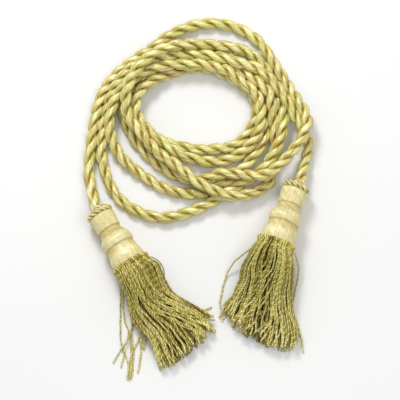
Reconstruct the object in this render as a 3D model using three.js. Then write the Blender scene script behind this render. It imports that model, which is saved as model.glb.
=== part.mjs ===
// Cincture cord: one long two-ply rope wound in a loose hand coil and lying flat,
// with a turned, yarn-wrapped tassel head, a gimp collar and a thread skirt at each end.
// Millimetres, +Z up, the surface it lies on is z = 0. Seen from above, +Y is away from the tassels.
import * as THREE from 'three';

// ---- rope ----
const ROPE_DIAMETER = 9.2;        // round section that stands for the two plies
const ROPE_SIDES = 8;
const ROUTE_POINTS_PER_STEP = 1.5; // the section is set every one and a half route points

// ---- tassel head, measured down its axis from its top face ----
const HEAD_LENGTH = 52.4;
const HEAD_SEGMENTS = 24;
const SOCKET_RADIUS = 5.7;        // the hole that the rope's end is fixed in
const SOCKET_DEPTH = 9;
const MOUTH_RADIUS = 13.2;        // the recess under the bell that the skirt is bound into
const MOUTH_DEPTH = 7.6;
const GAP = 0.3;

// ---- thread skirt ----
const NECK_RADIUS = 12.6;         // the bound heading of the skirt, inside the bell's mouth
const SKIRT_SIDES = 24;
const SKIRT_SQUARENESS = 2.5;     // exponent of the flattened round section
const SKIRT_FLAT = 1.2;           // the threads that lie on the surface are pressed flat by this much

// ---- places on the surface, from the middle of the coil ----
const COIL_CENTRE = [1.46, 156.39]; // moves the whole part, so that the tassels' own box is centred on the origin
const LEFT_HEAD = { at: [-88.9, -103.9], down: [0.512, -0.859] };
const RIGHT_HEAD = { at: [85.4, -79.96], down: [-0.322, -0.947] };

// The rope's route, lap by lap, clockwise from above. Each row is a clock angle in degrees
// (0 at the far side); its other columns are laps 0 to 6: the distance from the coil's middle.
const LAP_RADIUS = [
  // angle, lap0, lap1,  lap2,  lap3,  lap4,  lap5,  lap6
  [-120, 115.5, 66.0, 86.0, 52.0, 56.0, 60.0, 101.5],
  [-100, 97.0, 68.5, 83.0, 57.5, 59.5, 66.0, 87.5],
  [-80, 88.0, 71.0, 72.5, 57.0, 62.0, 67.0, 79.5],
  [-60, 77.0, 65.5, 59.5, 48.0, 56.5, 64.0, 70.5],
  [-40, 70.0, 59.5, 47.5, 41.0, 50.5, 61.0, 57.5],
  [-20, 73.0, 56.5, 40.0, 38.5, 47.5, 57.0, 50.0],
  [0, 78.0, 55.5, 38.0, 37.5, 46.5, 55.5, 46.5],
  [20, 81.5, 55.5, 37.5, 37.5, 46.5, 58.5, 47.0],
  [40, 81.5, 55.5, 40.0, 38.5, 47.0, 66.0, 50.5],
  [60, 78.5, 59.5, 42.5, 43.5, 52.5, 69.5, 62.5],
  [80, 83.0, 61.0, 52.0, 49.5, 63.0, 70.0, 73.0],
  [100, 98.0, 60.0, 56.0, 51.5, 67.0, 76.5, 90.5],
  [120, 94.5, 66.0, 58.5, 50.0, 78.0, 80.5, null],
  [140, 88.0, 68.0, 57.5, 47.5, 95.0, 82.5, null],
  [160, 68.5, 73.0, 54.5, 42.0, 90.5, 82.5, null],
  [180, 69.5, 81.0, 51.0, 40.0, 74.5, 94.5, null],
  [200, 67.5, 82.5, 49.5, 40.5, 62.0, 110.0, null],
  [220, 65.0, 82.5, 48.5, 45.0, 59.5, 112.5, null],
];
// The height of the rope's middle at the same places: 5 is on the surface, more is over other laps.
const LAP_HEIGHT = [
  // angle, lap0, lap1, lap2, lap3, lap4, lap5, lap6
  [-120, 5.0, 5.0, 9.0, 14.5, 5.0, 19.0, 5.0],
  [-100, 5.0, 5.0, 13.5, 14.0, 5.0, 21.0, 5.0],
  [-80, 5.0, 5.0, 15.0, 12.5, 5.0, 23.5, 9.0],
  [-60, 5.0, 5.0, 14.5, 9.5, 5.0, 24.0, 13.0],
  [-40, 5.0, 5.0, 14.5, 5.0, 5.0, 22.5, 14.0],
  [-20, 5.0, 5.0, 14.0, 5.0, 5.0, 20.5, 14.0],
  [0, 5.0, 5.0, 14.0, 5.0, 5.0, 17.5, 15.0],
  [20, 5.0, 5.0, 14.5, 5.0, 5.0, 13.5, 16.0],
  [40, 5.1, 5.0, 15.0, 5.0, 8.5, 9.5, 17.5],
  [60, 5.0, 5.0, 14.5, 5.0, 12.0, 5.0, 17.0],
  [80, 10.0, 5.0, 14.0, 5.0, 14.0, 6.0, 15.5],
  [100, 16.0, 5.0, 13.0, 5.0, 10.5, 10.5, 10.0],
  [120, 19.5, 5.0, 11.0, 5.0, 5.4, 14.0, null],
  [140, 18.5, 5.0, 8.0, 5.0, 5.4, 10.0, null],
  [160, 15.0, 5.0, 5.0, 5.0, 12.0, 5.1, null],
  [180, 8.5, 5.0, 7.5, 5.0, 16.0, 5.0, null],
  [200, 5.0, 5.0, 10.5, 5.0, 18.0, 5.0, null],
  [220, 5.0, 5.0, 13.5, 5.0, 18.0, 5.0, null],
];
// The two leads, from the middle of the coil.
const LEFT_LEAD = [
  //   x,      y,     z     from inside the left head's socket to the coil
  [-85.6, -109.5, 13.9],
  [-92.0, -98.7, 13.3],
  [-94.9, -89.0, 10.4],
  [-97.6, -75.8, 6.3],
];
const RIGHT_LEAD = [
  //   x,      y,     z     from the coil into the right head's socket
  [97.6, -34.4, 5.0],
  [95.8, -47.6, 5.6],
  [92.9, -59.2, 8.8],
  [90.4, -69.4, 12.2],
  [86.4, -77.1, 13.4],
  [83.3, -86.1, 13.9],
];

// The turned head's outer wall.
const HEAD_PROFILE = [
  // down, radius
  [0.0, 11.7],   // top edge, under the collar
  [0.8, 12.2],
  [5.0, 12.1],
  [10.0, 11.4],
  [14.6, 10.9],  // lower edge of the top drum
  [15.6, 10.2],
  [17.3, 9.8],   // neck
  [22.6, 12.3],  // cone below the neck
  [23.2, 13.0],
  [25.5, 14.3],
  [28.0, 14.95], // middle ring
  [30.5, 14.9],
  [32.6, 14.2],
  [33.8, 13.2],  // groove
  [35.0, 13.4],
  [38.0, 13.9],
  [42.0, 15.0],
  [46.0, 15.7],  // bell
  [50.0, 15.75],
  [52.4, 15.3],
];
// The gimp collar, wound round the rope on the head's top: down is negative above the head.
const COLLAR_PROFILE = [
  // down, radius
  [-7.6, 6.3],
  [-7.6, 7.2],
  [-4.6, 9.7],
  [-3.3, 12.1],
  [-2.0, 12.7],
  [-0.8, 12.5],
  [-0.3, 11.9],
  [-0.3, 6.2],
];
// The outer form of each thread skirt, in slices down the head's axis.
const LEFT_SKIRT = [
  // down,  left, right, bottom, top
  [53.7, -15.2, 15.2, 0.9, 31.0],
  [55.2, -16.6, 17.6, 0.2, 32.2],
  [59.0, -17.4, 20.4, 0.0, 32.2],
  [68.0, -18.4, 22.2, 0.0, 30.4],
  [80.0, -19.8, 20.4, 0.0, 27.0],
  [92.0, -23.4, 20.2, 0.0, 23.4],
  [106.0, -22.9, 26.2, 0.0, 19.6],
  [117.5, -21.0, 32.0, 0.0, 17.0],
  [130.0, -22.7, 37.8, 0.0, 14.0],
  [141.0, -24.6, 36.6, 0.0, 11.0],
  [147.5, -22.6, 22.0, 0.4, 8.6],
  [151.0, -15.0, 8.0, 1.2, 6.0],
];
const RIGHT_SKIRT = [
  // down,  left, right, bottom, top
  [53.7, -15.2, 15.2, 0.9, 31.0],
  [55.2, -17.2, 16.8, 0.2, 32.2],
  [59.0, -19.4, 18.6, 0.0, 32.2],
  [68.0, -21.0, 22.2, 0.0, 30.6],
  [83.0, -23.2, 26.2, 0.0, 26.4],
  [96.0, -21.8, 29.8, 0.0, 22.6],
  [108.0, -22.8, 34.6, 0.0, 19.4],
  [120.0, -25.8, 41.8, 0.0, 16.2],
  [130.0, -26.0, 46.0, 0.0, 13.6],
  [137.0, -16.0, 44.6, 0.0, 11.2],
  [142.0, -2.0, 38.4, 0.4, 8.8],
  [145.0, 8.0, 30.0, 1.2, 6.4],
];

// ---- colours ----
const material = (name, color, roughness) =>
  new THREE.MeshStandardMaterial({ name, color, roughness, metalness: 0 });
const goldRope = () => material('gold_rope', 0xcdbb66, 0.45);
const goldGimp = () => material('gold_gimp', 0xb59a5a, 0.55);
const creamYarn = () => material('cream_yarn', 0xe3d493, 0.4);
const oliveThread = () => material('olive_thread', 0x9a9442, 0.6);

const group = new THREE.Group();
const add = (name, geometry, mat) => {
  const mesh = new THREE.Mesh(geometry, mat);
  mesh.name = name;
  mesh.position.set(COIL_CENTRE[0], COIL_CENTRE[1], 0);
  group.add(mesh);
  return mesh;
};

// ---- the head lies on its middle ring and its bell, so its axis leans a little ----
const MIDDLE_RING = HEAD_PROFILE[10];
const BELL = HEAD_PROFILE[17];
const HEAD_LEAN = Math.asin((BELL[1] - MIDDLE_RING[1]) / (BELL[0] - MIDDLE_RING[0]));
const HEAD_HEIGHT = Math.max(
  ...HEAD_PROFILE.map(([down, radius]) => radius * Math.cos(HEAD_LEAN) - down * Math.sin(HEAD_LEAN)));

// A frame with its origin at the head's top face and +Y up its axis, towards the rope.
function headFrame(head) {
  const [dx, dy] = head.down;
  const flat = Math.cos(HEAD_LEAN);
  const up = new THREE.Vector3(-dx * flat, -dy * flat, -Math.sin(HEAD_LEAN)).normalize();
  const side = new THREE.Vector3(-dy, dx, 0).normalize();
  const over = new THREE.Vector3().crossVectors(side, up);
  return new THREE.Matrix4().makeBasis(side, up, over)
    .setPosition(head.at[0], head.at[1], HEAD_HEIGHT);
}

// A turned solid: rows of [down, radius], in the head's frame.
function turned(rows, head) {
  const profile = rows.map(([down, radius]) => new THREE.Vector2(radius, -down));
  const geometry = new THREE.LatheGeometry(profile, HEAD_SEGMENTS);
  geometry.applyMatrix4(headFrame(head));
  return geometry;
}

function headGeometry(head) {
  return turned([
    [SOCKET_DEPTH, 0],
    [SOCKET_DEPTH, SOCKET_RADIUS],
    [0, SOCKET_RADIUS],
    ...HEAD_PROFILE,
    [HEAD_LENGTH, MOUTH_RADIUS],
    [HEAD_LENGTH - MOUTH_DEPTH, MOUTH_RADIUS],
    [HEAD_LENGTH - MOUTH_DEPTH, 0],
  ].reverse(), head);
}

function collarGeometry(head) {
  return turned([...COLLAR_PROFILE, COLLAR_PROFILE[0]].reverse(), head);
}

// A closed solid through flattened round slices that stand across the head's axis.
function skirtGeometry(rows, head) {
  const [dx, dy] = head.down;
  const neckTop = HEAD_LENGTH - MOUTH_DEPTH + 3 * GAP; // the slices stand upright, the head leans
  const axisHeight = (down) => HEAD_HEIGHT + down * Math.sin(HEAD_LEAN);
  const neck = [neckTop, HEAD_LENGTH + 0.9].map((down) =>
    [down, -NECK_RADIUS, NECK_RADIUS, axisHeight(down) - NECK_RADIUS, axisHeight(down) + NECK_RADIUS]);
  const slices = [...neck, ...rows];
  const positions = [];
  const place = (down, across, z) =>
    positions.push(head.at[0] + dx * down - dy * across, head.at[1] + dy * down + dx * across, z);
  slices.forEach(([down, left, right, bottom, top], i) => {
    const power = i < neck.length + 1 ? 1 : 2 / SKIRT_SQUARENESS;
    for (let k = 0; k < SKIRT_SIDES; k++) {
      const a = (2 * Math.PI * k) / SKIRT_SIDES;
      const c = Math.cos(a), s = Math.sin(a);
      const across = (left + right) / 2 + ((right - left) / 2) * Math.sign(c) * Math.abs(c) ** power;
      const low = i < neck.length + 1 ? bottom : bottom - SKIRT_FLAT;
      const round = (low + top) / 2 + ((top - low) / 2) * Math.sign(s) * Math.abs(s) ** power;
      const z = Math.max(round, bottom);
      place(down, across, z);
    }
  });
  const last = slices.length - 1;
  const middle = (i) => {
    const [down, left, right, bottom, top] = slices[i];
    place(down, (left + right) / 2, (bottom + top) / 2);
    return positions.length / 3 - 1;
  };
  const topCentre = middle(0), endCentre = middle(last);
  const index = [];
  const at = (i, k) => i * SKIRT_SIDES + (k % SKIRT_SIDES);
  for (let k = 0; k < SKIRT_SIDES; k++) {
    for (let i = 0; i < last; i++) {
      index.push(at(i, k), at(i + 1, k + 1), at(i + 1, k), at(i, k), at(i, k + 1), at(i + 1, k + 1));
    }
    index.push(topCentre, at(0, k + 1), at(0, k), endCentre, at(last, k), at(last, k + 1));
  }
  const geometry = new THREE.BufferGeometry();
  geometry.setAttribute('position', new THREE.Float32BufferAttribute(positions, 3));
  geometry.setIndex(index);
  geometry.computeVertexNormals();
  return geometry;
}

// ---- the rope's route: left lead, laps, right lead ----
function ropeRoute() {
  const points = LEFT_LEAD.map((p) => new THREE.Vector3(...p));
  for (let lap = 1; lap < LAP_RADIUS[0].length; lap++) {
    LAP_RADIUS.forEach((row, i) => {
      if (row[lap] === null) return;
      const a = THREE.MathUtils.degToRad(row[0]);
      points.push(new THREE.Vector3(row[lap] * Math.sin(a), row[lap] * Math.cos(a), LAP_HEIGHT[i][lap]));
    });
  }
  points.push(...RIGHT_LEAD.map((p) => new THREE.Vector3(...p)));
  return points;
}

// A smooth line whose steps fall at the same clock angles on every lap.
class RouteLine extends THREE.CatmullRomCurve3 {
  getPointAt(u, target) { return this.getPoint(u, target); }
  getTangentAt(u, target) { return this.getTangent(u, target); }
}

function ropeGeometry() {
  const points = ropeRoute();
  const line = new RouteLine(points, false, 'catmullrom', 0.5);
  const section = new THREE.Shape();
  for (let k = 0; k < ROPE_SIDES; k++) {
    const a = (2 * Math.PI * (k + 0.5)) / ROPE_SIDES;
    const x = (ROPE_DIAMETER / 2) * Math.cos(a), y = (ROPE_DIAMETER / 2) * Math.sin(a);
    if (k === 0) section.moveTo(x, y); else section.lineTo(x, y);
  }
  section.closePath();
  return new THREE.ExtrudeGeometry(section, {
    steps: Math.round((points.length - 1) / ROUTE_POINTS_PER_STEP),
    extrudePath: line,
  });
}

add('cord', ropeGeometry(), goldRope());
add('collar_left', collarGeometry(LEFT_HEAD), goldGimp());
add('head_left', headGeometry(LEFT_HEAD), creamYarn());
add('skirt_left', skirtGeometry(LEFT_SKIRT, LEFT_HEAD), oliveThread());
add('collar_right', collarGeometry(RIGHT_HEAD), goldGimp());
add('head_right', headGeometry(RIGHT_HEAD), creamYarn());
add('skirt_right', skirtGeometry(RIGHT_SKIRT, RIGHT_HEAD), oliveThread());

export default group;
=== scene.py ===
import math

import bpy
import numpy as np
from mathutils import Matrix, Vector


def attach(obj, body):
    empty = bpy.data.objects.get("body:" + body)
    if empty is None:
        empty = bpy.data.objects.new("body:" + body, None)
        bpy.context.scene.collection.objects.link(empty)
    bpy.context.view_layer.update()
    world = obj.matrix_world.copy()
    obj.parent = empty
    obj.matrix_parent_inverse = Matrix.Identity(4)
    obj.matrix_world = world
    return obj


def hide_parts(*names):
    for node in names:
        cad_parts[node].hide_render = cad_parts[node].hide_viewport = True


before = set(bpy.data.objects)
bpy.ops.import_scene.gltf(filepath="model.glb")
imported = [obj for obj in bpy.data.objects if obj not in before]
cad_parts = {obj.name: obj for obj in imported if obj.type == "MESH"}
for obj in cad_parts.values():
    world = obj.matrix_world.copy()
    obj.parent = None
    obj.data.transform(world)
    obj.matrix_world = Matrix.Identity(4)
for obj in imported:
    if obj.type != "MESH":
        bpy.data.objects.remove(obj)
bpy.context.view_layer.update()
rng = np.random.default_rng(20531)
MM = 0.001
scene = bpy.context.scene
scene.view_settings.view_transform = "Standard"
scene.view_settings.look = "None"

# ------------------------------------------------------------------ camera
TARGET = Vector((0.00146, 0.0707, 0.0))
ELEVATION = math.radians(75.0)
DISTANCE = 4.5


def look_at(obj, target):
    obj.rotation_euler = (Vector(target) - obj.location).to_track_quat("-Z", "Y").to_euler()


cam_data = bpy.data.cameras.new("camera")
cam_data.sensor_fit = "HORIZONTAL"
cam_data.sensor_width = 36.0
cam_data.lens = 36.0 * DISTANCE / 0.360
cam_data.clip_start = 0.02
cam = bpy.data.objects.new("camera", cam_data)
scene.collection.objects.link(cam)
cam.location = TARGET + DISTANCE * Vector((0.0, -math.cos(ELEVATION), math.sin(ELEVATION)))
look_at(cam, TARGET)
scene.camera = cam

# ------------------------------------------------------------------ the same numbers as in the CAD part, mm
COIL_CENTRE = np.array([1.46, 156.39, 0.0])
# tan: the strength of the painted shade on each head's neck, below the drum's lip
LEFT_HEAD = {"at": (-88.9, -103.9), "down": (0.512, -0.859), "tan": 0.48}
RIGHT_HEAD = {"at": (85.4, -79.96), "down": (-0.322, -0.947), "tan": 0.30}
N = None
LAP_RADIUS = [
    # angle, lap0, lap1, lap2, lap3, lap4, lap5, lap6
    [-120, 115.5, 66.0, 86.0, 52.0, 56.0, 60.0, 101.5],
    [-100, 97.0, 68.5, 83.0, 57.5, 59.5, 66.0, 87.5],
    [-80, 88.0, 71.0, 72.5, 57.0, 62.0, 67.0, 79.5],
    [-60, 77.0, 65.5, 59.5, 48.0, 56.5, 64.0, 70.5],
    [-40, 70.0, 59.5, 47.5, 41.0, 50.5, 61.0, 57.5],
    [-20, 73.0, 56.5, 40.0, 38.5, 47.5, 57.0, 50.0],
    [0, 78.0, 55.5, 38.0, 37.5, 46.5, 55.5, 46.5],
    [20, 81.5, 55.5, 37.5, 37.5, 46.5, 58.5, 47.0],
    [40, 81.5, 55.5, 40.0, 38.5, 47.0, 66.0, 50.5],
    [60, 78.5, 59.5, 42.5, 43.5, 52.5, 69.5, 62.5],
    [80, 83.0, 61.0, 52.0, 49.5, 63.0, 70.0, 73.0],
    [100, 98.0, 60.0, 56.0, 51.5, 67.0, 76.5, 90.5],
    [120, 94.5, 66.0, 58.5, 50.0, 78.0, 80.5, N],
    [140, 88.0, 68.0, 57.5, 47.5, 95.0, 82.5, N],
    [160, 68.5, 73.0, 54.5, 42.0, 90.5, 82.5, N],
    [180, 69.5, 81.0, 51.0, 40.0, 74.5, 94.5, N],
    [200, 67.5, 82.5, 49.5, 40.5, 62.0, 110.0, N],
    [220, 65.0, 82.5, 48.5, 45.0, 59.5, 112.5, N],
]
LAP_HEIGHT = [
    [-120, 5.0, 5.0, 9.0, 14.5, 5.0, 19.0, 5.0],
    [-100, 5.0, 5.0, 13.5, 14.0, 5.0, 21.0, 5.0],
    [-80, 5.0, 5.0, 15.0, 12.5, 5.0, 23.5, 9.0],
    [-60, 5.0, 5.0, 14.5, 9.5, 5.0, 24.0, 13.0],
    [-40, 5.0, 5.0, 14.5, 5.0, 5.0, 22.5, 14.0],
    [-20, 5.0, 5.0, 14.0, 5.0, 5.0, 20.5, 14.0],
    [0, 5.0, 5.0, 14.0, 5.0, 5.0, 17.5, 15.0],
    [20, 5.0, 5.0, 14.5, 5.0, 5.0, 13.5, 16.0],
    [40, 5.1, 5.0, 15.0, 5.0, 8.5, 9.5, 17.5],
    [60, 5.0, 5.0, 14.5, 5.0, 12.0, 5.0, 17.0],
    [80, 10.0, 5.0, 14.0, 5.0, 14.0, 6.0, 15.5],
    [100, 16.0, 5.0, 13.0, 5.0, 10.5, 10.5, 10.0],
    [120, 19.5, 5.0, 11.0, 5.0, 5.4, 14.0, N],
    [140, 18.5, 5.0, 8.0, 5.0, 5.4, 10.0, N],
    [160, 15.0, 5.0, 5.0, 5.0, 12.0, 5.1, N],
    [180, 8.5, 5.0, 7.5, 5.0, 16.0, 5.0, N],
    [200, 5.0, 5.0, 10.5, 5.0, 18.0, 5.0, N],
    [220, 5.0, 5.0, 13.5, 5.0, 18.0, 5.0, N],
]
LEFT_LEAD = [
    [-85.6, -109.5, 13.9],
    [-92.0, -98.7, 13.3],
    [-94.9, -89.0, 10.4],
    [-97.6, -75.8, 6.3],
]
RIGHT_LEAD = [
    [97.6, -34.4, 5.0],
    [95.8, -47.6, 5.6],
    [92.9, -59.2, 8.8],
    [90.4, -69.4, 12.2],
    [86.4, -77.1, 13.4],
    [83.3, -86.1, 13.9],
]
HEAD_PROFILE = [
    # down, radius
    [0.0, 11.7], [0.8, 12.2], [5.0, 12.1], [10.0, 11.4], [14.6, 10.9], [15.6, 10.2], [17.3, 9.8],
    [22.6, 12.3], [23.2, 13.0], [25.5, 14.3], [28.0, 14.95], [30.5, 14.9], [32.6, 14.2],
    [33.8, 13.2], [35.0, 13.4], [38.0, 13.9], [42.0, 15.0], [46.0, 15.7], [50.0, 15.75], [52.4, 15.3],
]
LEFT_SKIRT = [
    # down, left, right, bottom, top
    [53.7, -15.2, 15.2, 0.9, 31.0], [55.2, -16.6, 18.0, 0.2, 32.2], [59.0, -17.4, 20.4, 0.0, 32.2],
    [66.0, -18.3, 22.0, 0.0, 30.8], [80.0, -19.4, 19.8, 0.0, 27.0], [92.0, -23.6, 19.6, 0.0, 23.4],
    [106.0, -22.9, 25.8, 0.0, 19.6], [117.5, -20.6, 31.6, 0.0, 17.0], [132.0, -22.7, 38.4, 0.0, 13.4],
    [152.0, -26.0, 44.0, 0.0, 9.4],
]
RIGHT_SKIRT = [
    [53.7, -15.2, 15.2, 0.9, 31.0], [55.2, -17.6, 16.6, 0.2, 32.2], [59.0, -19.4, 18.0, 0.0, 32.2],
    [68.0, -20.8, 21.6, 0.0, 30.6], [83.0, -23.2, 25.7, 0.0, 26.4], [96.0, -21.6, 29.2, 0.0, 22.6],
    [108.0, -22.8, 34.0, 0.0, 19.4], [120.0, -26.0, 41.5, 0.0, 16.2], [132.0, -28.4, 46.4, 0.0, 13.2],
    [152.0, -32.0, 51.0, 0.0, 9.4],
]


# ------------------------------------------------------------------ small maths
def unit(v):
    return v / np.maximum(np.linalg.norm(v, axis=-1, keepdims=True), 1e-12)


def catmull(points, per_span):
    p = np.asarray(points, float)
    p = np.vstack([2 * p[0] - p[1], p, 2 * p[-1] - p[-2]])
    t = (np.arange(per_span) / per_span)[:, None]
    out = []
    for i in range(1, len(p) - 2):
        a, b, c, d = p[i - 1], p[i], p[i + 1], p[i + 2]
        m0, m1 = 0.5 * (c - a), 0.5 * (d - b)
        out.append((2 * t**3 - 3 * t**2 + 1) * b + (t**3 - 2 * t**2 + t) * m0
                   + (-2 * t**3 + 3 * t**2) * c + (t**3 - t**2) * m1)
    out.append(p[-2][None, :])
    return np.vstack(out)


def along(points):
    return np.concatenate([[0.0], np.cumsum(np.linalg.norm(np.diff(points, axis=0), axis=1))])


def resample(points, count):
    s = along(points)
    t = np.linspace(0, s[-1], count)
    return np.stack([np.interp(t, s, points[:, k]) for k in range(points.shape[1])], axis=1), t


def slow_noise(x, wavelength, seed, waves=5):
    """A smooth wave sum, about -1 to 1, the same each run."""
    r = np.random.default_rng(seed)
    out = np.zeros_like(x, dtype=float)
    for _ in range(waves):
        out += np.sin(2 * math.pi * x / (wavelength * r.uniform(0.6, 1.7)) + r.uniform(0, 6.283))
    return out / (waves ** 0.5 * 1.2)


def transport_frames(paths):
    """Rotation-minimising frames for many paths at once: (T, n, 3) -> tangents, u, v."""
    tan = unit(np.gradient(paths, axis=1))
    u = np.zeros_like(paths)
    start = np.cross(np.array([0.0, 0.0, 1.0]), tan[:, 0])
    weak = np.linalg.norm(start, axis=1) < 0.2
    start[weak] = np.cross(np.array([1.0, 0.0, 0.0]), tan[weak, 0])
    u[:, 0] = unit(start)
    for i in range(1, paths.shape[1]):
        w = u[:, i - 1] - np.sum(u[:, i - 1] * tan[:, i], axis=1, keepdims=True) * tan[:, i]
        u[:, i] = unit(w)
    return tan, u, np.cross(tan, u)


class MeshBag:
    """Collects swept tubes and makes one mesh of them."""

    def __init__(self):
        self.v, self.f, self.uv, self.attr = [], [], [], {}
        self.count = 0

    def rings(self, rings, uv_u, uv_v, cap=True, **attrs):
        """rings (n, m, 3) closed round; uv_u has m+1 values, uv_v has n. attrs are (n, m) or a number."""
        n, m = rings.shape[:2]
        base = self.count
        self.v.append(rings.reshape(-1, 3))
        self.count += n * m
        i = np.arange(n - 1)[:, None]
        j = np.arange(m)[None, :]
        k = (j + 1) % m
        quads = np.stack([base + i * m + j, base + i * m + k, base + (i + 1) * m + k, base + (i + 1) * m + j], axis=-1)
        self.f.append(quads.reshape(-1, 4))
        uu = np.asarray(uv_u, float)
        vv = np.asarray(uv_v, float)
        u0, u1 = uu[:-1][None, :], uu[1:][None, :]
        v0, v1 = vv[:-1][:, None], vv[1:][:, None]
        z = np.zeros((n - 1, m))
        uvs = np.stack([np.stack([u0 + z, v0 + z], -1), np.stack([u1 + z, v0 + z], -1),
                        np.stack([u1 + z, v1 + z], -1), np.stack([u0 + z, v1 + z], -1)], axis=2)
        self.uv.append(uvs.reshape(-1, 2))
        for name, value in attrs.items():
            self.attr.setdefault(name, []).append(np.broadcast_to(np.asarray(value, float), (n, m)).reshape(-1))
        if cap:
            for ring, flip in ((0, True), (n - 1, False)):
                middle = rings[ring].mean(axis=0)
                self.v.append(middle[None, :])
                c = self.count
                self.count += 1
                for name in attrs:
                    self.attr[name].append(self.attr[name][-1][-1:] if ring else self.attr[name][-1][:1])
                idx = base + ring * m + np.arange(m)
                nxt = base + ring * m + (np.arange(m) + 1) % m
                tri = np.stack([np.full(m, c), nxt, idx] if flip else [np.full(m, c), idx, nxt], axis=-1)
                self.f.append(tri)
                self.uv.append(np.tile([uu[0], vv[ring]], (m * 3, 1)))

    def build(self, name, material, smooth=True):
        verts = np.concatenate(self.v) * MM
        loops = np.concatenate([f.reshape(-1) for f in self.f]).astype(np.int32)
        sizes = np.concatenate([np.full(len(f), f.shape[1]) for f in self.f]).astype(np.int32)
        starts = np.concatenate([[0], np.cumsum(sizes)[:-1]]).astype(np.int32)
        mesh = bpy.data.meshes.new(name)
        mesh.vertices.add(len(verts))
        mesh.vertices.foreach_set("co", verts.astype(np.float32).ravel())
        mesh.loops.add(len(loops))
        mesh.loops.foreach_set("vertex_index", loops)
        mesh.polygons.add(len(sizes))
        mesh.polygons.foreach_set("loop_start", starts)
        mesh.update(calc_edges=True)
        mesh.polygons.foreach_set("use_smooth", np.full(len(sizes), smooth))
        layer = mesh.uv_layers.new(name="UVMap")
        layer.data.foreach_set("uv", np.concatenate(self.uv).astype(np.float32).ravel())
        for key, parts in self.attr.items():
            a = mesh.attributes.new(key, "FLOAT", "POINT")
            a.data.foreach_set("value", np.concatenate(parts).astype(np.float32))
        mesh.validate()
        mesh.materials.append(material)
        obj = bpy.data.objects.new(name, mesh)
        scene.collection.objects.link(obj)
        return obj


# ------------------------------------------------------------------ materials
class Nodes:
    """Shorthand for a node tree."""

    def __init__(self, name):
        self.mat = bpy.data.materials.new(name)
        self.mat.use_nodes = True
        self.t = self.mat.node_tree
        self.bsdf = self.t.nodes["Principled BSDF"]

    def new(self, kind, **settings):
        n = self.t.nodes.new(kind)
        for k, v in settings.items():
            setattr(n, k, v)
        return n

    def link(self, a, b):
        self.t.links.new(a, b)

    def put(self, value, socket):
        if isinstance(value, (int, float)):
            socket.default_value = value
        elif isinstance(value, tuple):
            socket.default_value = value if len(value) == 4 or len(socket.default_value) == 3 else (*value, 1.0)
        else:
            self.link(value, socket)

    def math(self, op, a, b=0.0, c=0.0, clamp=False):
        n = self.new("ShaderNodeMath", operation=op, use_clamp=clamp)
        self.put(a, n.inputs[0])
        self.put(b, n.inputs[1])
        self.put(c, n.inputs[2])
        return n.outputs[0]

    def attribute(self, name):
        return self.new("ShaderNodeAttribute", attribute_name=name).outputs["Fac"]

    def uv(self, scale=(1, 1, 1)):
        n = self.new("ShaderNodeUVMap", uv_map="UVMap")
        m = self.new("ShaderNodeMapping")
        self.link(n.outputs[0], m.inputs[0])
        m.inputs["Scale"].default_value = scale
        return m.outputs[0]

    def space(self, scale=1.0):
        n = self.new("ShaderNodeTexCoord")
        m = self.new("ShaderNodeMapping")
        self.link(n.outputs["Object"], m.inputs[0])
        m.inputs["Scale"].default_value = (scale, scale, scale)
        return m.outputs[0]

    def noise(self, vector, scale=1.0, detail=2.0, rough=0.5):
        n = self.new("ShaderNodeTexNoise")
        self.link(vector, n.inputs["Vector"])
        n.inputs["Scale"].default_value = scale
        n.inputs["Detail"].default_value = detail
        n.inputs["Roughness"].default_value = rough
        return n.outputs["Fac"]

    def ramp(self, fac, stops, interpolation="LINEAR"):
        n = self.new("ShaderNodeValToRGB")
        n.color_ramp.interpolation = interpolation
        e = n.color_ramp.elements
        while len(e) < len(stops):
            e.new(0.5)
        for el, (pos, col) in zip(e, stops):
            el.position = pos
            el.color = (*col, 1.0)
        self.link(fac, n.inputs[0])
        return n.outputs[0]

    def mix(self, fac, a, b, blend="MIX"):
        n = self.new("ShaderNodeMix", data_type="RGBA", blend_type=blend)
        self.put(fac, n.inputs[0])
        self.put(a, n.inputs[6])
        self.put(b, n.inputs[7])
        return n.outputs[2]

    def bump(self, height, strength, distance, normal=None):
        n = self.new("ShaderNodeBump")
        n.inputs["Strength"].default_value = strength
        n.inputs["Distance"].default_value = distance
        self.link(height, n.inputs["Height"])
        if normal is not None:
            self.link(normal, n.inputs["Normal"])
        return n.outputs[0]

    def tangent(self):
        n = self.new("ShaderNodeTangent", direction_type="UV_MAP", uv_map="UVMap")
        self.link(n.outputs[0], self.bsdf.inputs["Tangent"])


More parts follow.
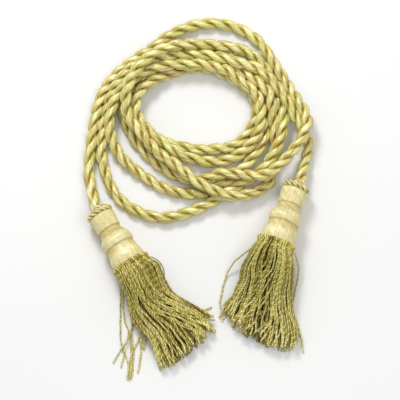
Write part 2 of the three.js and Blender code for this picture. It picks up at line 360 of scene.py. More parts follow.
def floss_material():
    """Glossy rayon floss: filaments along each ply, with painted shade, browner, in the valleys between the plies and
    along the yarn grooves.
    """
    m = Nodes("gold_rope_floss")
    tone, deep = m.attribute("tone"), m.attribute("deep")
    filament = m.noise(m.uv((60.0, 0.16, 1.0)), 1.0, 3.0, 0.62)
    yarn = m.noise(m.uv((15.0, 0.055, 1.0)), 1.0, 3.0, 0.62)
    cloud = m.noise(m.space(38.0), 1.0, 2.0, 0.5)
    value = m.math("ADD", m.math("MULTIPLY", filament, 0.35), m.math("MULTIPLY", yarn, 0.65))
    value = m.math("ADD", value, m.math("MULTIPLY_ADD", tone, 0.14, -0.07))
    body = m.ramp(value, [(0.36, (0.40, 0.31, 0.08)), (0.45, (0.59, 0.50, 0.155)),
                          (0.53, (0.74, 0.67, 0.265)), (0.62, (0.93, 0.90, 0.55))])
    tint = m.ramp(cloud, [(0.35, (0.94, 1.0, 0.80)), (0.65, (1.0, 0.96, 0.92))])
    body = m.mix(1.0, body, tint, "MULTIPLY")
    # painted shade in the valleys between the plies and along the yarn grooves, with a little painted light on the open
    # side of each ply
    valley = m.ramp(deep, [(0.0, (1.06, 1.06, 1.0)), (0.40, (0.93, 0.91, 0.78)), (0.80, (0.95, 0.88, 0.74)),
                           (1.0, (0.84, 0.74, 0.57))])
    body = m.mix(1.0, body, valley, "MULTIPLY")
    m.link(body, m.bsdf.inputs["Base Color"])
    rough = m.math("MULTIPLY_ADD", filament, 0.2, 0.16)
    m.link(rough, m.bsdf.inputs["Roughness"])
    m.bsdf.inputs["Specular IOR Level"].default_value = 1.0
    m.bsdf.inputs["Anisotropic"].default_value = 0.1
    m.bsdf.inputs["Sheen Weight"].default_value = 0.08
    m.bsdf.inputs["Sheen Roughness"].default_value = 0.4
    m.bsdf.inputs["Sheen Tint"].default_value = (1.0, 0.95, 0.7, 1.0)
    m.tangent()
    fine = m.noise(m.uv((150.0, 0.30, 1.0)), 1.0, 2.0, 0.6)
    n1 = m.bump(filament, 0.30, 0.0002)
    m.link(m.bump(fine, 0.15, 0.0001, n1), m.bsdf.inputs["Normal"])
    return m.mat


def gimp_material():
    m = Nodes("gold_gimp_twist")
    tone, deep = m.attribute("tone"), m.attribute("deep")
    filament = m.noise(m.uv((26.0, 0.35, 1.0)), 1.0, 3.0, 0.6)
    value = m.math("ADD", m.math("MULTIPLY", filament, 0.75), m.math("MULTIPLY", tone, 0.25))
    body = m.ramp(value, [(0.30, (0.43, 0.35, 0.10)), (0.5, (0.70, 0.62, 0.25)), (0.68, (0.93, 0.88, 0.50))])
    # painted shade in the valley between the gimp's two plies
    valley = m.ramp(deep, [(0.0, (1.0, 1.0, 1.0)), (0.55, (0.86, 0.80, 0.60)), (1.0, (0.28, 0.20, 0.07))])
    m.link(m.mix(1.0, body, valley, "MULTIPLY"), m.bsdf.inputs["Base Color"])
    m.link(m.math("MULTIPLY_ADD", filament, 0.3, 0.33), m.bsdf.inputs["Roughness"])
    m.bsdf.inputs["Anisotropic"].default_value = 0.4
    m.bsdf.inputs["Sheen Weight"].default_value = 0.2
    m.tangent()
    m.link(m.bump(filament, 0.6, 0.0002), m.bsdf.inputs["Normal"])
    return m.mat


def satin_material():
    """Cream-gold satin yarn laid along the head's axis; UV u counts yarns, v is millimetres down."""
    m = Nodes("cream_satin_yarn")
    deep, tone = m.attribute("deep"), m.attribute("tone")
    yarn = m.noise(m.uv((0.66, 0.11, 1.0)), 1.0, 3.0, 0.7)
    filament = m.noise(m.uv((7.0, 0.12, 1.0)), 1.0, 3.0, 0.6)
    patch = m.noise(m.space(95.0), 1.0, 3.0, 0.55)
    value = m.math("ADD", m.math("MULTIPLY", yarn, 0.60), m.math("MULTIPLY", filament, 0.16))
    value = m.math("ADD", value, m.math("MULTIPLY", patch, 0.18))
    value = m.math("ADD", value, m.math("MULTIPLY", tone, 0.06))
    body = m.ramp(value, [(0.34, (0.55, 0.45, 0.17)), (0.45, (0.72, 0.63, 0.29)),
                          (0.54, (0.82, 0.74, 0.38)), (0.66, (0.94, 0.88, 0.54))])
    # painted shade: darker and tanner in the recesses below the lips, under the collar and threads, and between the
    # yarns
    painted_shade_colour = m.ramp(deep, [(0.0, (1.0, 1.0, 1.0)), (0.5, (0.76, 0.695, 0.46)), (1.0, (0.48, 0.39, 0.20))])
    m.link(m.mix(1.0, body, painted_shade_colour, "MULTIPLY"), m.bsdf.inputs["Base Color"])
    m.link(m.math("MULTIPLY_ADD", filament, 0.2, 0.25), m.bsdf.inputs["Roughness"])
    m.bsdf.inputs["Specular IOR Level"].default_value = 1.0
    m.bsdf.inputs["Anisotropic"].default_value = 0.8
    m.bsdf.inputs["Sheen Weight"].default_value = 0.15
    m.bsdf.inputs["Sheen Roughness"].default_value = 0.4
    m.tangent()
    n1 = m.bump(filament, 0.5, 0.00022)
    m.link(m.bump(yarn, 0.4, 0.0002, n1), m.bsdf.inputs["Normal"])
    return m.mat


def thread_material():
    """Two-ply tassel thread: one ply olive, one gold, lighter at the ends."""
    m = Nodes("olive_gold_thread")
    tone, deep, ply = m.attribute("tone"), m.attribute("deep"), m.attribute("ply")
    filament = m.noise(m.uv((14.0, 0.7, 1.0)), 1.0, 2.0, 0.6)
    slub = m.noise(m.uv((0.0, 0.33, 1.0)), 1.0, 2.0, 0.6)
    drift = m.noise(m.space(60.0), 1.0, 2.0, 0.5)
    value = m.math("ADD", m.math("MULTIPLY", filament, 0.30), m.math("MULTIPLY", slub, 0.45))
    value = m.math("ADD", value, m.math("MULTIPLY", drift, 0.25))
    value = m.math("ADD", value, m.math("MULTIPLY_ADD", tone, 0.32, -0.16))
    olive = m.ramp(value, [(0.30, (0.17, 0.145, 0.018)), (0.5, (0.42, 0.375, 0.055)), (0.70, (0.82, 0.74, 0.26))])
    gold = m.ramp(value, [(0.30, (0.36, 0.28, 0.055)), (0.5, (0.82, 0.70, 0.25)), (0.70, (1.0, 0.97, 0.62))])
    body = m.mix(ply, olive, gold)
    # painted shade: the gaps' painted shade is darkest below the heading and eases towards the ends
    down = m.attribute("down")
    deep = m.math("MULTIPLY", deep, m.math("MULTIPLY_ADD", down, -0.90, 1.50))
    shade = m.ramp(deep, [(0.0, (1.0, 1.0, 1.04)), (0.5, (0.50, 0.44, 0.28)), (1.0, (0.13, 0.10, 0.03))])
    body = m.mix(1.0, body, shade, "MULTIPLY")
    # deeper and greener below the heading, paler towards the ends
    tint_by_down = m.ramp(down, [(0.36, (1.08, 1.03, 0.74)), (0.41, (0.87, 0.86, 0.60)), (0.50, (0.78, 0.765, 0.50)),
                         (0.64, (0.86, 0.85, 0.64)), (0.78, (1.03, 1.02, 0.87)), (0.90, (1.06, 1.05, 0.93))])
    m.link(m.mix(1.0, body, tint_by_down, "MULTIPLY"), m.bsdf.inputs["Base Color"])
    m.bsdf.inputs["Roughness"].default_value = 0.52
    m.bsdf.inputs["Specular IOR Level"].default_value = 0.34
    m.bsdf.inputs["Sheen Weight"].default_value = 0.06
    m.bsdf.inputs["Sheen Roughness"].default_value = 0.5
    m.link(m.bump(filament, 0.5, 0.00015), m.bsdf.inputs["Normal"])
    return m.mat


def floor_material():
    m = Nodes("studio_floor")
    soft = m.noise(m.space(3.0), 1.0, 3.0, 0.5)
    m.link(m.ramp(soft, [(0.3, (0.80, 0.80, 0.80)), (0.7, (0.83, 0.83, 0.825))]), m.bsdf.inputs["Base Color"])
    m.bsdf.inputs["Roughness"].default_value = 0.85
    m.bsdf.inputs["Specular IOR Level"].default_value = 0.2
    return m.mat


# ------------------------------------------------------------------ rope
LAY = 28.0
PLY_OUT, PLY_UP = 2.68, 2.5         # a ply's middle from the rope's middle, sideways and upwards
PLY_RADIUS = 2.46
YARNS = 10


def rope_route():
    pts = [list(p) for p in LEFT_LEAD]
    for lap in range(1, 8):
        for row, high in zip(LAP_RADIUS, LAP_HEIGHT):
            if row[lap] is None:
                continue
            a = math.radians(row[0])
            pts.append([row[lap] * math.sin(a), row[lap] * math.cos(a), high[lap]])
    pts += [list(p) for p in RIGHT_LEAD]
    return np.array(pts) + COIL_CENTRE


def make_rope(material):
    fine = catmull(rope_route(), 24)
    total = along(fine)[-1]
    count = int(total / 1.55)
    path, s = resample(fine, count)
    # a light smoothing of the joins between spans
    for _ in range(3):
        path[1:-1] = 0.25 * path[:-2] + 0.5 * path[1:-1] + 0.25 * path[2:]
    tan = unit(np.gradient(path, axis=0))
    side = unit(np.cross(np.array([0.0, 0.0, 1.0]), tan))
    up = np.cross(tan, side)
    lay = LAY * (1 + 0.12 * slow_noise(s, 190.0, 7))
    lay += 7.0 * np.exp(-((s - 40.0) / 50.0) ** 2)
    phase = 0.9 + np.concatenate([[0.0], np.cumsum(2 * math.pi / lay[:-1] * np.diff(s))])
    bag = MeshBag()
    sides = 2 * YARNS
    for ply in (0, 1):
        a = phase + math.pi * ply
        swell = 1 + 0.045 * slow_noise(s, 36.0, 11 + ply)
        out = PLY_OUT * (1 + 0.04 * slow_noise(s, 90.0, 21))
        middle = path + (out * np.cos(a))[:, None] * side + (PLY_UP * np.sin(a))[:, None] * up
        radial = np.cos(a)[:, None] * side + np.sin(a)[:, None] * up
        round_ = -np.sin(a)[:, None] * side + np.cos(a)[:, None] * up
        turn = -0.34 * s + 0.25 * slow_noise(s, 70.0, 31 + ply)
        phi = 2 * math.pi * np.arange(sides)[None, :] / sides + turn[:, None]
        ridge = 1 + 0.07 * np.where(np.arange(sides) % 2 == 0, 1.0, -1.0)[None, :]
        wave = 1 + 0.02 * slow_noise(s[:, None] + 17.0 * np.arange(sides)[None, :], 22.0, 41 + ply)
        r = PLY_RADIUS * swell[:, None] * ridge * wave
        x = r * np.cos(phi)
        y = r * 1.42 * np.sin(phi)
        rings = middle[:, None, :] + x[..., None] * radial[:, None, :] + y[..., None] * round_[:, None, :]
        low = 0.12
        rings[..., 2] = np.maximum(rings[..., 2], low)
        # painted shade: how far a point faces the other ply, from the open side to the valley between the plies; every
        # other vertex adds painted shade along a yarn groove
        deep = np.clip((0.55 - np.cos(phi)) / 1.3, 0, 1) ** 1.3
        deep = np.clip(deep + np.where(np.arange(sides) % 2 == 0, 0.0, 0.30)[None, :] * (1 - 0.5 * deep), 0, 1)
        tone = 0.5 + 0.5 * slow_noise(s[:, None] + 300.0 * (np.arange(sides) // 2)[None, :], 120.0, 51 + ply)
        bag.rings(rings, np.arange(sides + 1) / sides, s, deep=deep, tone=np.clip(tone, 0, 1))
    rope = bag.build("rope", material)
    return rope, path, total


# ------------------------------------------------------------------ heads and collars
def head_frame(head):
    ring, bell = HEAD_PROFILE[10], HEAD_PROFILE[17]
    lean = math.asin((bell[1] - ring[1]) / (bell[0] - ring[0]))
    height = max(r * math.cos(lean) - d * math.sin(lean) for d, r in HEAD_PROFILE)
    dx, dy = head["down"]
    flat = math.cos(lean)
    up = unit(np.array([-dx * flat, -dy * flat, -math.sin(lean)]))
    side = unit(np.array([-dy, dx, 0.0]))
    over = np.cross(side, up)
    at = np.array([head["at"][0], head["at"][1], height]) + COIL_CENTRE
    return at, up, side, over, lean, height


def head_points(head, down, angle, radius):
    """angle 0 is sideways, 90 degrees is the top."""
    at, up, side, over, _, _ = head_frame(head)
    down, angle, radius = np.broadcast_arrays(down, angle, radius)
    return (at - down[..., None] * up + (radius * np.cos(angle))[..., None] * side
            + (radius * np.sin(angle))[..., None] * over)


def make_head(name, head, material, seed):
    prof = np.array(HEAD_PROFILE)
    rows = [[0.25, 6.2], [0.05, 9.0], [0.0, 11.2]]
    outer = []
    knots = prof[:, 0]
    d = np.concatenate([np.linspace(0.15, 14.4, 17), np.linspace(14.7, 24.0, 16), np.linspace(24.6, 33.0, 12),
                        np.linspace(33.4, 35.2, 5), np.linspace(36.0, 52.3, 18)])
    r = np.interp(d, knots, prof[:, 1])
    for _ in range(2):
        keep = (np.abs(d - 14.6) < 0.5) | (np.abs(d - 33.8) < 0.5)
        rs = r.copy()
        rs[1:-1] = 0.25 * r[:-2] + 0.5 * r[1:-1] + 0.25 * r[2:]
        r = np.where(keep, r, rs)
    outer = np.stack([d, r], axis=1)
    tail = [[52.5, 15.0], [52.5, 13.6], [50.5, 13.3], [46.0, 13.0], [45.0, 6.0], [45.0, 0.4]]
    rows = np.array([[0.25, 0.4]] + rows + outer.tolist() + tail)
    yarns = 92
    cols = yarns * 4
    rr = np.random.default_rng(seed)
    profile = np.tile([0.0, 0.86, 1.0, 0.86], yarns)
    high = np.repeat(rr.uniform(0.65, 1.15, yarns), 4)
    drift = 0.05 * slow_noise(np.repeat(np.arange(yarns), 4)[None, :] * 1.0 + rows[:, 0][:, None] * 0.15, 9.0, seed + 1)
    angle = 2 * math.pi * (np.arange(cols)[None, :] / cols) + math.pi * 1.5 + drift * 0.35
    body = np.clip((rows[:, 1] - 5.0) / 6.0, 0, 1)[:, None]
    size = (rows[:, 1] / 15.0)[:, None]
    lift = 0.24 * size * body * profile[None, :] * high[None, :]
    dent = 0.10 * slow_noise(angle * 9.0 + rows[:, 0][:, None] * 0.9, 7.0, seed + 2)
    radius = np.maximum(rows[:, 1][:, None] - 0.12 + lift + dent * body, 0.3)
    rings = head_points(head, rows[:, 0][:, None] + 0 * angle, angle, radius)
    rings[..., 2] = np.maximum(rings[..., 2], 0.05)
    # painted shade: the yarn is darkened to tan where it dips under the collar, below the drum's lip at the neck, below
    # the ring's lip in the groove, at the rim under the threads and between the yarns, with a little random variation
    dn = rows[:, 0]
    step = lambda lo, hi: np.clip((dn - lo) / (hi - lo), 0, 1)
    dip = (np.exp(-((dn - 0.3) / 1.1) ** 2) * 0.9 + head["tan"] * step(14.4, 15.1) * (1 - step(22.3, 23.1))
           + 0.50 * step(32.9, 33.5) * (1 - step(35.5, 42.0)) + 0.30 * step(51.0, 52.4)
           + 0.25 * np.exp(-((dn - 15.3) / 0.6) ** 2) + 0.25 * np.exp(-((dn - 33.7) / 0.6) ** 2))
    groove = 0.22 * (1 - profile[None, :])
    deep = np.clip(dip[:, None] + groove + 0.10 * slow_noise(angle * 6 + rows[:, 0][:, None], 5.0, seed + 4), 0, 1)
    tone = np.broadcast_to(np.repeat(rr.uniform(0, 1, yarns), 4)[None, :], angle.shape)
    bag = MeshBag()
    uv_u = np.arange(cols + 1) / 4.0
    bag.rings(rings[::-1], uv_u, rows[::-1, 0], deep=deep[::-1], tone=tone[::-1])
    return bag.build(name, material)


def make_collar(name, head, material, seed):
    """A cone of twisted gimp, two and a quarter turns, wound on a core over the rope's end."""
    turns = 2.25
    n = 330
    t = np.linspace(0, 1, n)
    angle = 0.6 + 2 * math.pi * turns * t
    down = np.interp(t, [0, 0.42, 0.80, 0.95, 1.0], [-1.7, -2.5, -5.6, -6.6, -6.0])
    radius = np.interp(t, [0, 0.42, 0.80, 0.95, 1.0], [10.9, 10.6, 7.6, 5.9, 4.2])
    wob = 0.25 * slow_noise(t * 200, 30.0, seed)
    line = head_points(head, down + wob, angle, radius + 0.2 * slow_noise(t * 200, 22.0, seed + 1))
    line[:, 2] = np.maximum(line[:, 2], 2.4)
    tan, u, v = transport_frames(line[None])
    tan, u, v = tan[0], u[0], v[0]
    s = along(line)
    a = 2 * math.pi * s / 10.0
    bag = MeshBag()
    sides = 12
    for ply in (0, 1):
        aa = a + math.pi * ply
        mid = line + 1.12 * (np.cos(aa)[:, None] * u + np.sin(aa)[:, None] * v)
        rad = np.cos(aa)[:, None] * u + np.sin(aa)[:, None] * v
        rnd = -np.sin(aa)[:, None] * u + np.cos(aa)[:, None] * v
        phi = 2 * math.pi * np.arange(sides)[None, :] / sides - 0.9 * s[:, None]
        r = 1.16 * (1 + 0.05 * np.where(np.arange(sides) % 2 == 0, 1, -1))[None, :]
        rings = mid[:, None, :] + (r * np.cos(phi))[..., None] * rad[:, None, :] + (r * 1.12 * np.sin(phi))[..., None] * rnd[:, None, :]
        rings[..., 2] = np.maximum(rings[..., 2], 0.1)
        # painted shade where each ply faces the other
        deep = np.clip((0.5 - np.cos(phi)) / 1.3, 0, 1)
        bag.rings(rings, np.arange(sides + 1) / sides, s, deep=deep, tone=0.5 + 0.4 * slow_noise(s, 25.0, seed + 5 + ply)[:, None] + 0 * phi)
    # the core that the gimp is wound on, with a fixed painted shade as it lies under the gimp
    core = np.array([[-6.9, 5.3], [-6.6, 5.8], [-4.8, 7.4], [-3.0, 9.4], [-1.4, 10.6], [-0.35, 10.8], [-0.3, 9.0], [-0.3, 5.3]])
    cols = 40
    ang = 2 * math.pi * np.arange(cols)[None, :] / cols
    rings = head_points(head, core[:, 0][:, None] + 0 * ang, ang, core[:, 1][:, None] + 0 * ang)
    rings = np.concatenate([rings, rings[:1]], axis=0)
    bag.rings(rings[::-1], np.arange(cols + 1) / cols * 8, np.arange(len(core) + 1) * 1.5, cap=False,
              deep=0.85, tone=0.3)
    return bag.build(name, material)


# ------------------------------------------------------------------ thread skirts
def skirt_place(head, down, across, z):
    dx, dy = head["down"]
    x = head["at"][0] + dx * down - dy * across + COIL_CENTRE[0]
    y = head["at"][1] + dy * down + dx * across + COIL_CENTRE[1]
    return np.stack([x, y, z], axis=-1)


def thread_rings(bag, head, paths, radius, seed, section="pair", lay=5.0, taper=True, tone=None, shade=None):
    """Sweeps a two-lobed section, turning as the plies twist, along each path. paths is (T, n, 3)."""
    count, n = paths.shape[:2]
    start = np.array(head["at"]) + COIL_CENTRE[:2]
    down = np.clip((paths[..., :2] - start) @ np.array(head["down"]) / 150.0, 0, 1)
    rr = np.random.default_rng(seed)
    tan, u, v = transport_frames(paths)
    seg = np.linalg.norm(np.diff(paths, axis=1), axis=2)
    s = np.concatenate([np.zeros((count, 1)), np.cumsum(seg, axis=1)], axis=1)
    if section == "pair":
        ang = np.radians([-38.0, 38.0, 90.0, 142.0, 218.0, 270.0])
        rad = np.array([1.0, 1.0, 0.45, 1.0, 1.0, 0.45])
        ply = np.array([1.0, 1.0, 0.5, 0.0, 0.0, 0.5])
        dip = np.array([0.0, 0.0, 1.0, 0.0, 0.0, 1.0])
    else:
        ang = np.radians([0.0, 90.0, 180.0, 270.0])
        rad = np.array([1.0, 0.66, 1.0, 0.66])
        ply = np.array([1.0, 0.5, 0.0, 0.5])
        dip = np.array([0.0, 0.8, 0.0, 0.8])
    lays = lay * rr.uniform(0.88, 1.15, count)
    turn = 2 * math.pi * s / lays[:, None] + rr.uniform(0, 6.28, count)[:, None]
    size = radius * rr.uniform(0.88, 1.10, count)[:, None] * (1 + 0.05 * np.sin(s * 0.5 + rr.uniform(0, 6, count)[:, None]))
    if taper:
        left = s[:, -1:] - s
        size = size * np.clip(0.62 + left / 3.0, 0, 1)
    t_tone = rr.uniform(0, 1, count) if tone is None else tone
    for k in range(count):
        a = ang[None, :] + turn[k][:, None]
        r = rad[None, :] * size[k][:, None]
        rings = paths[k][:, None, :] + (r * np.cos(a))[..., None] * u[k][:, None, :] + (r * np.sin(a))[..., None] * v[k][:, None, :]
        rings[..., 2] = np.maximum(rings[..., 2], 0.08)
        # painted shade in the waist between the two plies, plus the painted shade passed in as shade
        dark = 0.62 * dip[None, :] + (0 if shade is None else shade[k][:, None])
        m = len(ang)
        bag.rings(rings, np.arange(m + 1) / m, s[k] + 37.0 * k, deep=np.clip(dark, 0, 1),
                  tone=float(t_tone[k]), ply=np.broadcast_to(ply[None, :], a.shape), down=down[k][:, None])


def skirt_form(rows, head):
    """Middle, half width and height of the skirt's outer form at a distance down."""
    rows = np.array(rows)
    _, _, _, _, lean, height = head_frame(head)
    dense = catmull(rows, 12)
    d = dense[:, 0]

    def at(down):
        left = np.interp(down, d, dense[:, 1])
        right = np.interp(down, d, dense[:, 2])
        top = np.interp(down, d, dense[:, 4])
        rim = height + down * math.sin(lean)
        w = np.clip((down - 53.0) / 14.0, 0, 1)
        w = w * w * (3 - 2 * w)
        middle = (1 - w) * 0.0 + w * (left + right) / 2
        half = (1 - w) * 17.0 + w * (right - left) / 2
        low = (1 - w) * (rim - 17.0) + w * 0.0
        high = (1 - w) * (rim + 17.0) + w * top
        return middle, half, (low + high) / 2, (high - low) / 2, w

    return at


def skirt_surface(form, down, theta, rho, inset):
    middle, half, zc, zh, w = form(down)
    c, sn = np.cos(theta), np.sin(theta)
    p = 1 - 0.2 * w
    across = middle + rho * (half - inset) * np.sign(c) * np.abs(c) ** p
    z = zc + rho * (zh - inset) * np.sign(sn) * np.abs(sn) ** p
    return across, z


def make_skirt(name, head, rows, ends, strays, partings, sweep, material, seed):
    """Looped threads round the outside, then two fuller layers inside, then the loose strays."""
    rr = np.random.default_rng(seed)
    form = skirt_form(rows, head)
    _, _, _, _, lean, height = head_frame(head)
    locks = 17
    radius = 0.90

    def end_of(theta, extra):
        u = np.cos(theta)
        return np.interp(u, [e[0] for e in ends], [e[1] for e in ends]) + extra

    def thread(theta0, rho0, rho1, start, stop, n, drift, wander, phase_seed, onset=56.0):
        """One thread down the skirt: drift turns it steadily round, wander loosely; rho runs from rho0 to rho1."""
        r2 = np.random.default_rng(phase_seed)
        down = np.linspace(start, stop, n)
        far = np.clip((down - 56.0) / 80.0, 0, 1.2)
        theta = theta0 + drift * np.clip((down - onset) / (136.0 - onset), 0, 1.2) + wander * far * r2.normal() + 0.05 * far * np.sin(down / r2.uniform(8, 17) + r2.uniform(0, 6.28))
        # neighbours draw together in locks towards the ends
        theta = theta - far * (0.34 / locks * np.sin(locks * theta + 0.02 * down + seed) + 0.30 / 7 * np.sin(7 * theta + 0.5 * seed))
        for mid, lo, hi, wide in partings:
            swell = np.sin(0.5 * math.pi * np.clip((down - lo) / 14.0, 0, 1)) ** 2 * np.sin(0.5 * math.pi * np.clip((hi - down) / 18.0, 0, 1)) ** 2
            gap = theta - mid
            theta = theta + np.tanh(gap / (0.5 * wide)) * wide * swell * np.exp(-(gap / (3.0 * wide)) ** 2)
        w = np.clip((down - 56.0) / 60.0, 0, 1)
        rh = (rho0 + (rho1 - rho0) * w) * (1 + 0.035 * far * np.sin(down / r2.uniform(9, 20) + r2.uniform(0, 6.28)))
        across, z = skirt_surface(form, down, theta, rh, radius)
        crinkle = 0.16 + 0.34 * far
        across = across + crinkle * np.sin(down / r2.uniform(2.4, 4.6) + r2.uniform(0, 6.28)) + crinkle * 0.9 * np.sin(down / r2.uniform(5, 9) + r2.uniform(0, 6.28))
        z = z + 0.8 * crinkle * np.sin(down / r2.uniform(2.6, 5.0) + r2.uniform(0, 6.28))
        z = np.maximum(z, radius + 0.1)
        return skirt_place(head, down, across, z)

    # outer threads: each loops over at the heading; one leg hangs outside, the other behind it
    loops = 46
    bag = MeshBag()
    paths, shades = [], []
    spacing = 2 * math.pi / loops
    for k in range(loops):
        th = spacing * (k + rr.uniform(-0.18, 0.18)) + 0.03
        outside = thread(th, 1.0, rr.uniform(0.93, 1.05), 54.6 + rr.uniform(-0.4, 0.8), end_of(th, 1.2 - abs(rr.normal(0, 1.5))), 150, rr.normal(0, 0.05), 0.10, seed * 1000 + k * 7)
        behind = thread(th + 0.42 * spacing, 0.74, rr.uniform(0.90, 1.03), 55.4 + rr.uniform(-0.4, 0.8), end_of(th + 0.4 * spacing, 1.0 - abs(rr.normal(0, 1.9))), 150,
                        rr.normal(0, 0.08), 0.12, seed * 1000 + k * 7 + 3)
        # the small arch that joins the legs over the bell's rim, leaning over its neighbour
        a = np.linspace(0, 1, 15)[1:-1]
        arch_down = 54.4 - (2.5 + rr.uniform(-0.5, 0.7)) * np.sin(math.pi * a) ** 0.8
        arch_theta = th + spacing * (1.15 * a ** 1.2 - 0.72 * a ** 4)
        reach = 17.0 + 0.6 * np.sin(math.pi * a) * (1 - 0.5 * a) - 1.4 * a ** 3
        across = reach * np.cos(arch_theta)
        z = height + arch_down * math.sin(lean) + reach * np.sin(arch_theta)
        arch = skirt_place(head, arch_down, across, np.maximum(z, radius + 0.1))
        whole = np.vstack([outside[::-1], arch, behind])
        for _ in range(2):
            whole[1:-1] = 0.25 * whole[:-2] + 0.5 * whole[1:-1] + 0.25 * whole[2:]
        line, _ = resample(whole, 236)
        paths.append(line)
        along_loop = np.linspace(0, 1, 236)
        # painted shade on the leg behind, fading along it, and painted light on the arch over the rim
        hidden = np.where(along_loop > 0.55, 0.42 - 0.34 * (along_loop - 0.55) / 0.45, 0.0)
        shades.append(hidden - 0.45 * np.exp(-((along_loop - 0.49) / 0.06) ** 2))
    thread_rings(bag, head, np.array(paths), radius, seed + 1, "pair", taper=True, shade=np.array(shades))
    # a few threads that have slipped sideways and lie over the others
    paths = []
    lo, hi, swing = sweep
    for k in range(14):
        th = lo + (hi - lo) * (k + rr.uniform(-0.3, 0.3)) / 13
        turn = swing * rr.uniform(0.7, 1.15)
        over = thread(th, 0.99, rr.uniform(1.02, 1.08), 56.5, end_of(th + turn, -rr.uniform(0, 5)), 150, turn, 0.03, seed * 5000 + k, 78.0)
        line, _ = resample(over, 120)
        paths.append(line)
    for k in range(14):
        th = rr.uniform(0.15, math.pi - 0.15)
        slip = rr.choice([-1, 1]) * rr.uniform(0.10, 0.40)
        over = thread(th, 0.98, rr.uniform(1.03, 1.10), 56.0 + rr.uniform(0, 2), end_of(th + slip, -rr.uniform(0, 9)), 150, slip, 0.05, seed * 3000 + k)
        line, _ = resample(over, 120)
        paths.append(line)
    thread_rings(bag, head, np.array(paths), radius * 0.95, seed + 2, "pair", taper=True)
    outer = bag.build(name, material)

    # inner threads
    bag2 = MeshBag()
    for layer, (rho, number, section, n) in enumerate([(0.64, 42, "pair", 112), (0.44, 30, "plain", 84), (0.22, 18, "plain", 84)]):
        paths = []
        for k in range(number):
            th = 2 * math.pi * (k + rr.uniform(-0.35, 0.35)) / number + 0.4 * layer
            stop = end_of(th, 0.6 - abs(rr.normal(0.0, 2.2)))
            whole = thread(th, rho * rr.uniform(0.94, 1.06), rho * rr.uniform(0.98, 1.1), 54.0, stop, 150, 0.0, 0.16, seed * 2000 + layer * 100 + k)
            line, _ = resample(whole, n)
            paths.append(line)
        paths = np.array(paths)
        # painted shade on the inner layers, darker the further in
        shade = np.full(paths.shape[:2], 0.46 + 0.16 * layer)
        thread_rings(bag2, head, paths, radius, seed + 20 + layer, section, lay=5.6 if section == "pair" else 6.4, shade=shade)
    inner = bag2.build(name + "_inside", material)

    # strays
    bag3 = MeshBag()
    for k, rows_ in enumerate(strays):
        pts = np.array(rows_, float)
        place = skirt_place(head, pts[:, 0], pts[:, 1], np.maximum(pts[:, 2], radius * 0.86 + 0.1))
        fine = catmull(place, 16)
        n = int(along(fine)[-1] / 0.72) + 8
        line, t = resample(fine, n)
        line[:, 0] += 0.16 * np.sin(t / 2.1 + k)
        line[:, 1] += 0.12 * np.sin(t / 2.9 + 2 * k)
        thread_rings(bag3, head, line[None], radius * 0.86, seed + 60 + k, "pair", tone=[0.85])
    loose = bag3.build(name + "_strays", material)
    return outer, inner, loose


# ------------------------------------------------------------------ build
floss, gimp, satin, thread_mat = floss_material(), gimp_material(), satin_material(), thread_material()

rope, rope_path, rope_length = make_rope(floss)
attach(rope, "root")
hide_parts("cord")

# where the threads end: across the skirt from -1 to 1, and the distance down
LEFT_ENDS = [(-1.0, 144.0), (-0.75, 148.4), (-0.27, 148.6), (-0.04, 145.0), (0.27, 145.2), (0.58, 141.6), (0.78, 137.8), (0.91, 133.0), (1.0, 128.0)]
RIGHT_ENDS = [(-1.0, 122.0), (-0.9, 126.0), (-0.68, 130.2), (-0.57, 136.0), (-0.37, 134.6), (-0.26, 139.6), (-0.04, 138.8), (0.23, 142.4), (0.49, 142.6),
              (0.71, 140.6), (0.82, 139.0), (0.9, 134.0), (1.0, 129.0)]
# places where the threads stand apart: angle round the skirt, from and to down, half width
LEFT_PARTINGS = [(1.80, 62.0, 96.0, 0.05), (1.30, 80.0, 122.0, 0.06), (2.15, 88.0, 126.0, 0.05), (1.0, 104.0, 140.0, 0.05)]
RIGHT_PARTINGS = [(1.72, 54.0, 90.0, 0.07), (1.42, 52.0, 84.0, 0.05), (2.0, 54.0, 88.0, 0.04), (1.5, 100.0, 136.0, 0.05)]
# threads that cross over the others to one side: from and to angle at the heading, and how far they swing
LEFT_SWEEP = (1.2, 2.0, -0.75)
RIGHT_SWEEP = (0.7, 1.7, 0.6)
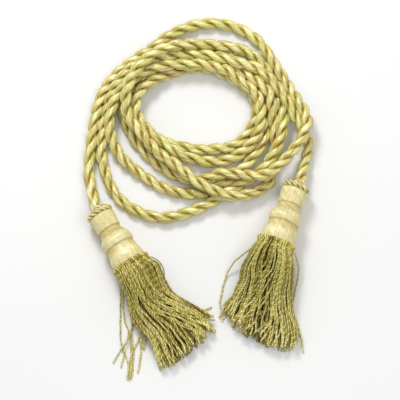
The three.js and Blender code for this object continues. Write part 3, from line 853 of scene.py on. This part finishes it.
# loose threads that have left the skirt: rows of down, across, height of the middle
LEFT_STRAYS = [
    [[52.1, -8.2, 14], [58.0, -13.8, 9], [64.3, -17.1, 4], [73.8, -23.3, 1.2], [85.8, -30.4, 1.2], [97.8, -37.6, 1.2], [106.1, -42.0, 1.2], [111.9, -44.1, 3], [113.8, -47.1, 1.2], [116.2, -52.2, 1.2], [120.2, -58.3, 1.2]],
    [[54.6, -7.6, 14], [60.8, -12.9, 9], [69.0, -17.8, 3.2], [77.7, -23.2, 3.2], [86.9, -27.4, 2.2], [94.6, -30.2, 1.2], [101.5, -31.4, 1.2], [106.9, -35.0, 1.2], [110.1, -39.7, 1.2], [112.6, -43.7, 1.2], [118.6, -46.3, 1.2], [122.9, -50.1, 1.2], [127.3, -54.6, 1.2]],
    [[83.2, -11.1, 8], [91.2, -17.4, 4], [96.7, -23.1, 1.4], [101.6, -28.5, 3.0], [105.7, -32.5, 3.0], [109.2, -36.7, 3.2], [112.2, -40.9, 3.2], [116.0, -44.4, 3.0], [121.4, -45.3, 1.2], [127.0, -46.8, 1.2], [133.4, -50.6, 1.2], [139.4, -55.2, 1.2]],
    [[80.9, -13.9, 6], [89.1, -20.4, 3], [98.6, -26.3, 3.2], [105.8, -31.6, 1.4], [114.7, -36.5, 1.2], [121.9, -40.8, 1.2], [127.9, -45.4, 1.2], [134.4, -49.1, 1.2], [140.6, -54.1, 1.2]],
    [[82.3, -12.6, 8], [92.1, -19.5, 4], [99.4, -25.8, 1.2], [108.2, -32.1, 3.2], [116.6, -36.2, 3.0], [124.2, -41.6, 3.0], [132.0, -46.7, 3.0], [139.4, -52.3, 2.6]],
    [[102.2, -18.2, 6], [108.8, -23.4, 2.4], [113.4, -27.8, 1.2], [115.8, -32.0, 1.2], [118.6, -35.5, 1.2], [123.8, -39.5, 1.2], [130.0, -43.7, 1.2], [135.4, -47.4, 1.2], [140.7, -52.0, 1.2]],
    [[99.9, -15.8, 8], [107.7, -21.9, 3], [115.6, -26.8, 3.0], [122.5, -30.8, 1.2], [128.6, -35.0, 1.2], [133.7, -39.3, 1.2], [139.1, -43.9, 1.2]],
    [[104.5, -14.3, 6], [111.5, -18.7, 2], [117.3, -23.0, 1.2], [123.9, -28.4, 1.2]],
    [[101.8, -14.8, 5], [110.2, -20.9, 2], [117.0, -25.4, 1.2], [122.5, -29.0, 1.2]],
    [[58.5, -6.8, 18], [65.3, -11.9, 8], [75.8, -17.2, 3], [86.0, -21.1, 1.2], [94.9, -24.3, 1.2]],
    [[55.2, 14.0, 25], [58.9, 19.1, 22], [63.7, 22.4, 19], [69.4, 22.9, 17], [74.6, 21.7, 15], [78.9, 19.2, 13], [82.8, 15.3, 12]],
    [[102.1, 19.6, 10], [111.9, 25.3, 6], [116.9, 30.7, 2.2], [119.6, 36.4, 1.2], [120.3, 40.2, 1.2], [120.7, 43.9, 1.2]],
    [[105.1, 17.8, 9], [114.1, 25.0, 5], [120.6, 31.6, 2], [124.5, 36.6, 1.2], [128.1, 41.3, 1.2]],
    [[110.5, 18.8, 7], [120.8, 27.3, 3], [127.1, 34.0, 1.2], [131.9, 40.4, 1.2]],
    [[122.1, 26.6, 5], [131.6, 32.4, 2], [137.0, 34.4, 1.2], [141.4, 36.0, 1.2]],
]
RIGHT_STRAYS = [
    [[64.3, -17.0, 22], [67.2, -20.8, 19], [71.0, -24.2, 16], [75.6, -28.0, 12], [81.0, -31.3, 8], [87.4, -33.2, 4], [94.7, -33.8, 1.4], [102.5, -33.5, 1.2], [111.0, -32.5, 1.2], [117.4, -31.3, 1.2], [122.1, -29.1, 1.2], [125.8, -26.7, 3], [130.8, -27.1, 1.4]],
    [[101.9, -14.7, 8], [113.2, -19.4, 4], [121.6, -23.2, 1.4], [128.2, -26.7, 1.2], [130.8, -27.8, 1.2]],
    [[104.0, -13.0, 7], [115.3, -17.7, 3], [123.5, -21.6, 1.2], [129.1, -23.5, 1.2], [133.8, -24.3, 1.2]],
    [[54.1, 11.9, 24], [55.8, 16.7, 20], [59.5, 21.1, 16], [64.6, 24.5, 12], [70.4, 26.8, 9], [77.0, 28.0, 6], [84.0, 28.9, 4], [91.1, 29.8, 2.4], [98.3, 30.9, 1.4], [104.8, 33.5, 1.2], [109.8, 37.4, 1.2], [116.0, 42.4, 1.2], [122.5, 46.5, 1.2], [130.0, 50.6, 1.2], [137.2, 53.8, 1.2]],
    [[57.7, 12.1, 23], [61.4, 17.2, 18], [67.6, 21.1, 13], [75.3, 23.8, 9], [85.4, 26.5, 6], [95.7, 29.2, 4], [106.1, 32.4, 3]],
    [[101.1, 30.7, 4], [110.3, 36.2, 1.4], [117.6, 40.7, 1.2], [124.4, 43.7, 1.2], [130.0, 46.2, 1.2]],
]

for side, head, rows, ends, strays, partings, sweep, seed in (
    ("left", LEFT_HEAD, LEFT_SKIRT, LEFT_ENDS, LEFT_STRAYS, LEFT_PARTINGS, LEFT_SWEEP, 3),
    ("right", RIGHT_HEAD, RIGHT_SKIRT, RIGHT_ENDS, RIGHT_STRAYS, RIGHT_PARTINGS, RIGHT_SWEEP, 8),
):
    turned = make_head("turned_head_" + side, head, satin, seed * 10)
    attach(turned, "root")
    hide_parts("head_" + side)
    collar = make_collar("gimp_collar_" + side, head, gimp, seed * 10 + 1)
    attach(collar, "root")
    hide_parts("collar_" + side)
    for piece in make_skirt("thread_skirt_" + side, head, rows, ends, strays, partings, sweep, thread_mat, seed):
        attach(piece, "root")
        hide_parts("skirt_" + side)

# ------------------------------------------------------------------ floor and light
floor_mesh = bpy.data.meshes.new("studio_floor")
floor_mesh.from_pydata([(-3, -3, 0), (3, -3, 0), (3, 3, 0), (-3, 3, 0)], [], [(0, 1, 2, 3)])
floor_mesh.materials.append(floor_material())
floor = bpy.data.objects.new("studio_floor", floor_mesh)
scene.collection.objects.link(floor)

world = bpy.data.worlds.new("studio")
world.use_nodes = True
world.node_tree.nodes["Background"].inputs[0].default_value = (1.0, 1.0, 1.0, 1.0)
world.node_tree.nodes["Background"].inputs[1].default_value = 0.56
scene.world = world


def soft_box(name, place, target, size, power, colour=(1, 1, 1)):
    data = bpy.data.lights.new(name, "AREA")
    data.shape = "RECTANGLE"
    data.size, data.size_y = size
    data.energy = power
    data.color = colour
    lamp = bpy.data.objects.new(name, data)
    scene.collection.objects.link(lamp)
    lamp.location = place
    look_at(lamp, target)
    return lamp


soft_box("key_box", (-0.42, 1.08, 1.30), (0.0, 0.07, 0.0), (0.50, 0.50), 16.5)
soft_box("fill_box", (0.55, -0.25, 1.5), (0.0, 0.07, 0.0), (1.0, 1.0), 7.0)
